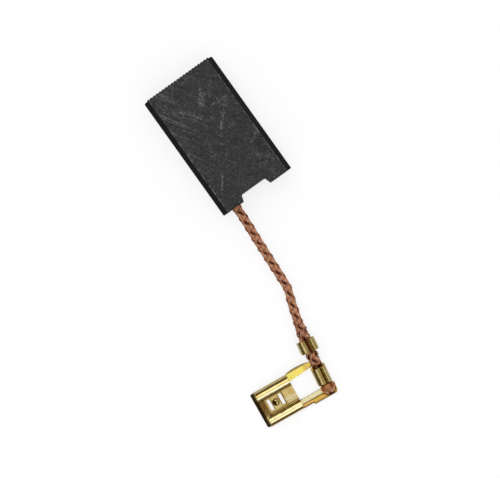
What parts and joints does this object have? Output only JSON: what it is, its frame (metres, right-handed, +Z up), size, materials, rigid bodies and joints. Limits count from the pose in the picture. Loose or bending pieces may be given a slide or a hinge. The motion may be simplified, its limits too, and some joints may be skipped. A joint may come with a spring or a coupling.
{
  "type": "carbon brush",
  "caption": "Graphite brush block with a hollow ribbed contact face and a notched rear end, a braided copper shunt and a brass flag terminal crimped to it.",
  "frame": {"origin": "middle of the carbon block's underside", "axes": "+X towards the contact face, +Y across the width to the side of the shunt and the terminal, +Z up through the thickness"},
  "size_m": [0.0676, 0.0331, 0.0063],
  "materials": {
    "graphite": "matt ground graphite with fine grinding scratches",
    "copper_powder": "dull rammed powder",
    "copper_braid": "bright bare copper strands",
    "brass_sheet": "bright rolled sheet"
  },
  "bodies": {
    "root": {"carbon_block": "graphite", "tamped_plug": "copper_powder", "braided_shunt": "copper_braid", "flag_terminal": "brass_sheet"}
  },
  "joints": []
}
